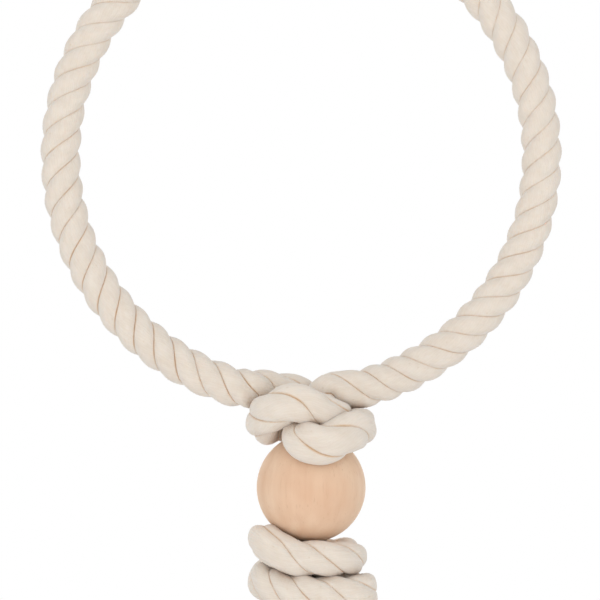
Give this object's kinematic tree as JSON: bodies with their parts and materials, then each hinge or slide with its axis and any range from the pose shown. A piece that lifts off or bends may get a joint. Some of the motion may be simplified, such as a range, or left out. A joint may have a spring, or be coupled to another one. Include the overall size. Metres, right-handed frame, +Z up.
{
  "type": "rope ring bird swing",
  "caption": "Hanging bird swing: a stiffened ring of thick cotton rope, knotted at its foot above wooden balls held between rope knots, with a steel ring and snap hook at the top.",
  "frame": {"origin": "where the cage bar bears on the inside of the snap hook's bow", "axes": "+Z up along the hanging line, X across the rope ring, +Y to the back; the rope ring lies in the XZ plane"},
  "size_m": [0.1903, 0.0506, 0.3984],
  "materials": {
    "cotton_rope": "natural off-white twisted cotton, matt",
    "plain_wood": "pale bare wood, sanded smooth",
    "plated_steel": "bright zinc-nickel plated steel wire",
    "plain_steel": "plain drawn steel wire"
  },
  "bodies": {
    "clip": {"hook_body": "plated_steel", "gate_rivet": "plated_steel"},
    "gate": {"hook_gate": "plated_steel", "gate_spring": "plain_steel"},
    "hanger": {"hanging_ring": "plated_steel"},
    "swing": {"ring_rope": "cotton_rope", "ring_wire": "plain_steel", "noose_knot": "cotton_rope", "standing_rope": "cotton_rope"},
    "pendant": {"middle_knot": "cotton_rope", "end_knot": "cotton_rope"},
    "upper_bead": {"upper_ball": "plain_wood"},
    "lower_bead": {"lower_ball": "plain_wood"}
  },
  "joints": [
    {"name": "gate_hinge", "type": "hinge", "parent": "clip", "child": "gate", "pos_m": [0.00725, 0, -0.03035], "axis": [0, -1, 0], "range_deg": [0, 36], "stiffness_Nm_per_rad": 0.12, "springref_deg": -22.92},
    {"name": "side_sway", "type": "hinge", "parent": "clip", "child": "hanger", "pos_m": [0, 0, -0.0377], "axis": [0, 1, 0], "range_deg": [-45, 45]},
    {"name": "fore_aft_swing", "type": "hinge", "parent": "hanger", "child": "swing", "pos_m": [0, 0, -0.0583], "axis": [1, 0, 0], "range_deg": [-60, 60]},
    {"name": "pendant_sway", "type": "hinge", "parent": "swing", "child": "pendant", "pos_m": [0.00208, 0, -0.26803], "axis": [0, 1, 0], "range_deg": [-12, 12]},
    {"name": "upper_ball_spin", "type": "hinge", "parent": "pendant", "child": "upper_bead", "pos_m": [0.00208, 0, -0.26803], "axis": [0, 0, 1], "continuous": true},
    {"name": "lower_ball_spin", "type": "hinge", "parent": "pendant", "child": "lower_bead", "pos_m": [0.00208, 0, -0.32774], "axis": [0, 0, 1], "continuous": true}
  ]
}
